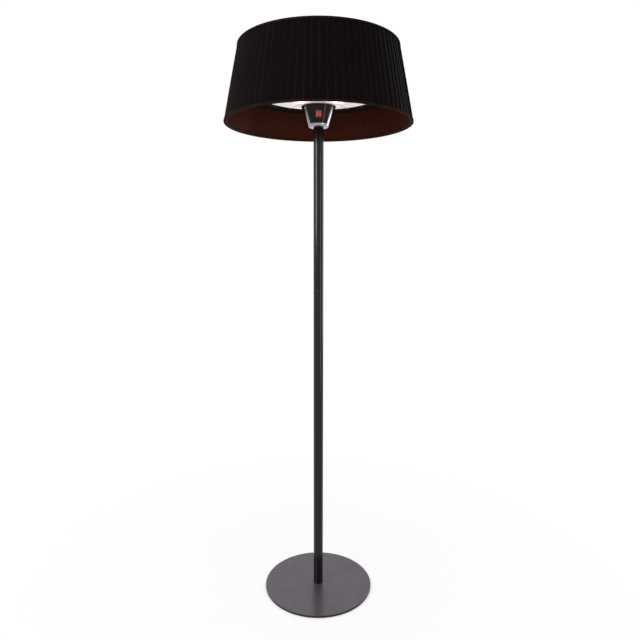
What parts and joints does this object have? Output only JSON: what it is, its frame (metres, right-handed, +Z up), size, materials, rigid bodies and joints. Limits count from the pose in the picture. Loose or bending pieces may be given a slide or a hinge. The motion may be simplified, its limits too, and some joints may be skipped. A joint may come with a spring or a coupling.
{
  "type": "infrared patio heater",
  "caption": "Floor-standing electric infrared patio heater shaped as a floor lamp: round base, slim pole, control cup with rocker switches, ring lamps under a pleated drum shade.",
  "frame": {"origin": "on the floor, under the middle of the base", "axes": "+Z up along the pole; the switches face -Y; +X to the right as seen by someone facing the switches"},
  "size_m": [0.69, 0.69, 2.0896],
  "materials": {
    "base_paint": "satin dark grey",
    "pole_paint": "semi-gloss dark brown-black",
    "zinc_steel": "zinc plated",
    "rubber": "matte black",
    "cable": "satin black",
    "chrome": "mirror bright",
    "panel_gloss": "glossy black",
    "black_plastic": "matte black",
    "red_key": "clear red, lit from inside",
    "aluminium": "bright polished",
    "casing_paint": "heat-proof satin black",
    "quartz": "clear quartz",
    "filament": "glowing",
    "ceramic": "off-white ceramic",
    "steel_wire": "bright plated wire",
    "shade_fabric": "black, fine vertical pleats",
    "shade_lining": "dark copper brown",
    "shade_trim": "black tape"
  },
  "bodies": {
    "stand": {"base_plate": "base_paint", "foot_pad_1": "rubber", "foot_pad_2": "rubber", "foot_pad_3": "rubber", "foot_pad_4": "rubber", "foot_pad_5": "rubber", "foot_pad_6": "rubber", "cable_gland": "rubber", "lid_gasket": "rubber", "base_screw": "zinc_steel", "pole_plug": "zinc_steel", "lower_pole_coupler": "zinc_steel", "upper_pole_coupler": "zinc_steel", "rocker_pin": "zinc_steel", "pole_spigot": "zinc_steel", "centre_rod": "zinc_steel", "casing_screw_1": "zinc_steel", "casing_screw_2": "zinc_steel", "casing_screw_3": "zinc_steel", "casing_screw_4": "zinc_steel", "lower_pole": "pole_paint", "middle_pole": "pole_paint", "upper_pole": "pole_paint", "internal_lead": "cable", "control_cup": "chrome", "cup_lid": "chrome", "panel_screw_left": "chrome", "panel_screw_right": "chrome", "switch_panel": "panel_gloss", "switch_body": "black_plastic", "tilt_switch": "black_plastic", "terminal_block": "ceramic", "thermal_cutout": "ceramic", "outer_lamp_cap_1": "ceramic", "outer_lamp_cap_2": "ceramic", "inner_lamp_cap_1": "ceramic", "inner_lamp_cap_2": "ceramic", "heater_stem": "aluminium", "reflector": "aluminium", "carrier_ring": "casing_paint", "casing": "casing_paint", "shade_bottom_ring": "casing_paint", "shade_top_ring": "casing_paint", "shade_spider": "casing_paint", "spider_knob": "casing_paint", "outer_lamp_tube": "quartz", "inner_lamp_tube": "quartz", "outer_lamp_filament": "filament", "inner_lamp_filament": "filament", "wire_guard": "steel_wire", "outer_lamp_clip_1": "steel_wire", "outer_lamp_clip_2": "steel_wire", "inner_lamp_clip_1": "steel_wire", "inner_lamp_clip_2": "steel_wire", "shade_fabric": "shade_fabric", "shade_lining": "shade_lining", "shade_bottom_trim": "shade_trim", "shade_top_trim": "shade_trim"},
    "left_key": {"rocker_key_left": "red_key"},
    "right_key": {"rocker_key_right": "red_key"}
  },
  "joints": [
    {"name": "left_key_rock", "type": "hinge", "parent": "stand", "child": "left_key", "pos_m": [-0.005, -0.04902, 1.85348], "axis": [1, 0, 0], "range_deg": [0, 20]},
    {"name": "right_key_rock", "type": "hinge", "parent": "stand", "child": "right_key", "pos_m": [0.005, -0.04902, 1.85348], "axis": [1, 0, 0], "range_deg": [0, 20]}
  ]
}
